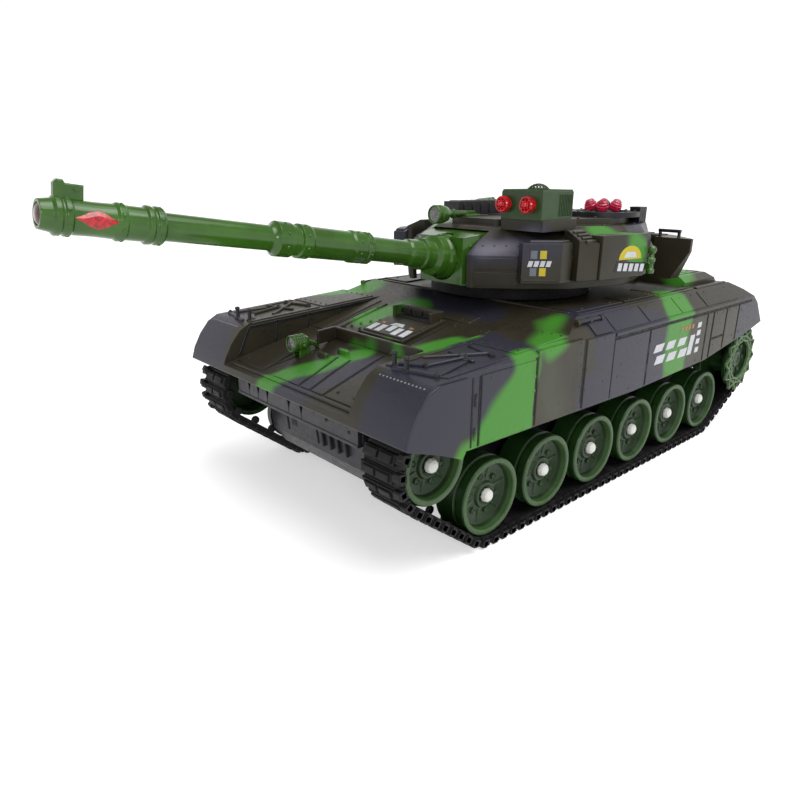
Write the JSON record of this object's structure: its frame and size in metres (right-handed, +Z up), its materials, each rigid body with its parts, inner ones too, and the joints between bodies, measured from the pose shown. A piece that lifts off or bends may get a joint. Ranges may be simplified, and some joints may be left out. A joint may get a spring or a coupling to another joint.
{
  "type": "rc tank",
  "caption": "Radio-controlled toy battle tank with turning turret, elevating gun, dished road wheels inside rubber tracks, skirts and camouflage shell.",
  "frame": {"origin": "on the ground, under the middle of the whole length from muzzle to rear track", "axes": "+Z up, the gun points along -Y, the tank's left side is +X"},
  "size_m": [0.1514, 0.3639, 0.1375],
  "materials": {
    "hull_camouflage": "satin camouflage paint on moulded plastic",
    "turret_camouflage": "satin camouflage paint on moulded plastic",
    "black_plastic": "satin black moulded plastic",
    "track_rubber": "soft black track links",
    "wheel_green": "dark green moulded plastic",
    "gun_green": "glossy green moulded plastic",
    "red_lens": "clear red moulded lens",
    "clear_lens": "frosted white lens",
    "white_plastic": "white moulded pin",
    "steel": "plated steel",
    "gearbox_grey": "grey moulded plastic",
    "circuit_board": "green solder mask",
    "battery_wrap": "blue shrink wrap"
  },
  "bodies": {
    "root": {"upper_hull": "hull_camouflage", "lower_hull": "black_plastic", "battery_cover": "black_plastic", "battery_pack": "battery_wrap", "circuit_board": "circuit_board", "speaker": "black_plastic", "gearbox_left": "gearbox_grey", "gearbox_right": "gearbox_grey", "drive_motors": "steel", "hull_screws": "steel", "splash_board": "hull_camouflage", "headlamp_housing": "gun_green", "headlamp_lens": "clear_lens", "driver_hatch": "hull_camouflage", "engine_deck": "hull_camouflage", "engine_grille": "black_plastic", "track_left": "track_rubber", "track_right": "track_rubber", "axle_pins": "white_plastic", "turret_motor": "steel"},
    "turret": {"turret_ring": "black_plastic", "turret_shell": "turret_camouflage", "mantlet_shield": "gun_green", "cheek_box_left": "turret_camouflage", "cheek_box_right": "turret_camouflage", "louvre_box_left": "turret_camouflage", "louvre_box_right": "turret_camouflage", "rear_bin": "turret_camouflage", "bin_lid": "turret_camouflage", "sight_box": "gun_green", "sight_lenses": "red_lens", "searchlight": "gun_green", "searchlight_lens": "clear_lens", "roof_box": "black_plastic", "hatch_ring": "black_plastic", "beacon_hub": "black_plastic", "beacon_lamps": "red_lens", "side_bracket_left": "gun_green", "side_bracket_right": "gun_green"},
    "gun": {"gun_barrel": "gun_green", "muzzle_lens": "red_lens", "muzzle_side_lamps": "red_lens"},
    "turret_pinion": {"turret_pinion": "white_plastic"},
    "power_switch": {"power_switch": "black_plastic"},
    "sprocket_left": {"sprocket_left": "wheel_green"},
    "idler_left": {"idler_left": "wheel_green"},
    "road_wheel_1_left": {"road_wheel_1_left": "wheel_green"},
    "road_wheel_2_left": {"road_wheel_2_left": "wheel_green"},
    "road_wheel_3_left": {"road_wheel_3_left": "wheel_green"},
    "road_wheel_4_left": {"road_wheel_4_left": "wheel_green"},
    "road_wheel_5_left": {"road_wheel_5_left": "wheel_green"},
    "road_wheel_6_left": {"road_wheel_6_left": "wheel_green"},
    "sprocket_right": {"sprocket_right": "wheel_green"},
    "idler_right": {"idler_right": "wheel_green"},
    "road_wheel_1_right": {"road_wheel_1_right": "wheel_green"},
    "road_wheel_2_right": {"road_wheel_2_right": "wheel_green"},
    "road_wheel_3_right": {"road_wheel_3_right": "wheel_green"},
    "road_wheel_4_right": {"road_wheel_4_right": "wheel_green"},
    "road_wheel_5_right": {"road_wheel_5_right": "wheel_green"},
    "road_wheel_6_right": {"road_wheel_6_right": "wheel_green"}
  },
  "joints": [
    {"name": "turret_traverse", "type": "hinge", "parent": "root", "child": "turret", "pos_m": [0, 0.03575, 0.084], "axis": [0, 0, 1], "range_deg": [-160, 160]},
    {"name": "gun_elevation", "type": "hinge", "parent": "turret", "child": "gun", "pos_m": [0, -0.01225, 0.1033], "axis": [-1, 0, 0], "range_deg": [-10, 7]},
    {"name": "turret_pinion_spin", "type": "hinge", "parent": "root", "child": "turret_pinion", "pos_m": [0, 0.07385, 0.072], "axis": [0, 0, 1], "range_deg": [-860, 860]},
    {"name": "power_switch_slide", "type": "slide", "parent": "root", "child": "power_switch", "axis": [0, 1, 0], "range_m": [0, 0.005]},
    {"name": "sprocket_left_spin", "type": "hinge", "parent": "root", "child": "sprocket_left", "pos_m": [0.06, 0.16125, 0.0383], "axis": [1, 0, 0], "continuous": true},
    {"name": "idler_left_spin", "type": "hinge", "parent": "root", "child": "idler_left", "pos_m": [0.06, -0.08525, 0.0425], "axis": [1, 0, 0], "continuous": true},
    {"name": "road_wheel_1_left_spin", "type": "hinge", "parent": "root", "child": "road_wheel_1_left", "pos_m": [0.06, -0.05425, 0.0206], "axis": [1, 0, 0], "continuous": true},
    {"name": "road_wheel_2_left_spin", "type": "hinge", "parent": "root", "child": "road_wheel_2_left", "pos_m": [0.06, -0.01825, 0.0206], "axis": [1, 0, 0], "continuous": true},
    {"name": "road_wheel_3_left_spin", "type": "hinge", "parent": "root", "child": "road_wheel_3_left", "pos_m": [0.06, 0.01775, 0.0206], "axis": [1, 0, 0], "continuous": true},
    {"name": "road_wheel_4_left_spin", "type": "hinge", "parent": "root", "child": "road_wheel_4_left", "pos_m": [0.06, 0.05375, 0.0206], "axis": [1, 0, 0], "continuous": true},
    {"name": "road_wheel_5_left_spin", "type": "hinge", "parent": "root", "child": "road_wheel_5_left", "pos_m": [0.06, 0.08975, 0.0206], "axis": [1, 0, 0], "continuous": true},
    {"name": "road_wheel_6_left_spin", "type": "hinge", "parent": "root", "child": "road_wheel_6_left", "pos_m": [0.06, 0.12575, 0.0206], "axis": [1, 0, 0], "continuous": true},
    {"name": "sprocket_right_spin", "type": "hinge", "parent": "root", "child": "sprocket_right", "pos_m": [-0.06, 0.16125, 0.0383], "axis": [1, 0, 0], "continuous": true},
    {"name": "idler_right_spin", "type": "hinge", "parent": "root", "child": "idler_right", "pos_m": [-0.06, -0.08525, 0.0425], "axis": [1, 0, 0], "continuous": true},
    {"name": "road_wheel_1_right_spin", "type": "hinge", "parent": "root", "child": "road_wheel_1_right", "pos_m": [-0.06, -0.05425, 0.0206], "axis": [1, 0, 0], "continuous": true},
    {"name": "road_wheel_2_right_spin", "type": "hinge", "parent": "root", "child": "road_wheel_2_right", "pos_m": [-0.06, -0.01825, 0.0206], "axis": [1, 0, 0], "continuous": true},
    {"name": "road_wheel_3_right_spin", "type": "hinge", "parent": "root", "child": "road_wheel_3_right", "pos_m": [-0.06, 0.01775, 0.0206], "axis": [1, 0, 0], "continuous": true},
    {"name": "road_wheel_4_right_spin", "type": "hinge", "parent": "root", "child": "road_wheel_4_right", "pos_m": [-0.06, 0.05375, 0.0206], "axis": [1, 0, 0], "continuous": true},
    {"name": "road_wheel_5_right_spin", "type": "hinge", "parent": "root", "child": "road_wheel_5_right", "pos_m": [-0.06, 0.08975, 0.0206], "axis": [1, 0, 0], "continuous": true},
    {"name": "road_wheel_6_right_spin", "type": "hinge", "parent": "root", "child": "road_wheel_6_right", "pos_m": [-0.06, 0.12575, 0.0206], "axis": [1, 0, 0], "continuous": true}
  ],
  "couplings": [
    {"joint": "turret_pinion_spin", "follows": "turret_traverse", "ratio": -5.3333},
    {"joint": "idler_left_spin", "follows": "sprocket_left_spin", "ratio": 1.0959},
    {"joint": "road_wheel_1_left_spin", "follows": "sprocket_left_spin", "ratio": 1},
    {"joint": "road_wheel_2_left_spin", "follows": "sprocket_left_spin", "ratio": 1},
    {"joint": "road_wheel_3_left_spin", "follows": "sprocket_left_spin", "ratio": 1},
    {"joint": "road_wheel_4_left_spin", "follows": "sprocket_left_spin", "ratio": 1},
    {"joint": "road_wheel_5_left_spin", "follows": "sprocket_left_spin", "ratio": 1},
    {"joint": "road_wheel_6_left_spin", "follows": "sprocket_left_spin", "ratio": 1},
    {"joint": "idler_right_spin", "follows": "sprocket_right_spin", "ratio": 1.0959},
    {"joint": "road_wheel_1_right_spin", "follows": "sprocket_right_spin", "ratio": 1},
    {"joint": "road_wheel_2_right_spin", "follows": "sprocket_right_spin", "ratio": 1},
    {"joint": "road_wheel_3_right_spin", "follows": "sprocket_right_spin", "ratio": 1},
    {"joint": "road_wheel_4_right_spin", "follows": "sprocket_right_spin", "ratio": 1},
    {"joint": "road_wheel_5_right_spin", "follows": "sprocket_right_spin", "ratio": 1},
    {"joint": "road_wheel_6_right_spin", "follows": "sprocket_right_spin", "ratio": 1}
  ]
}
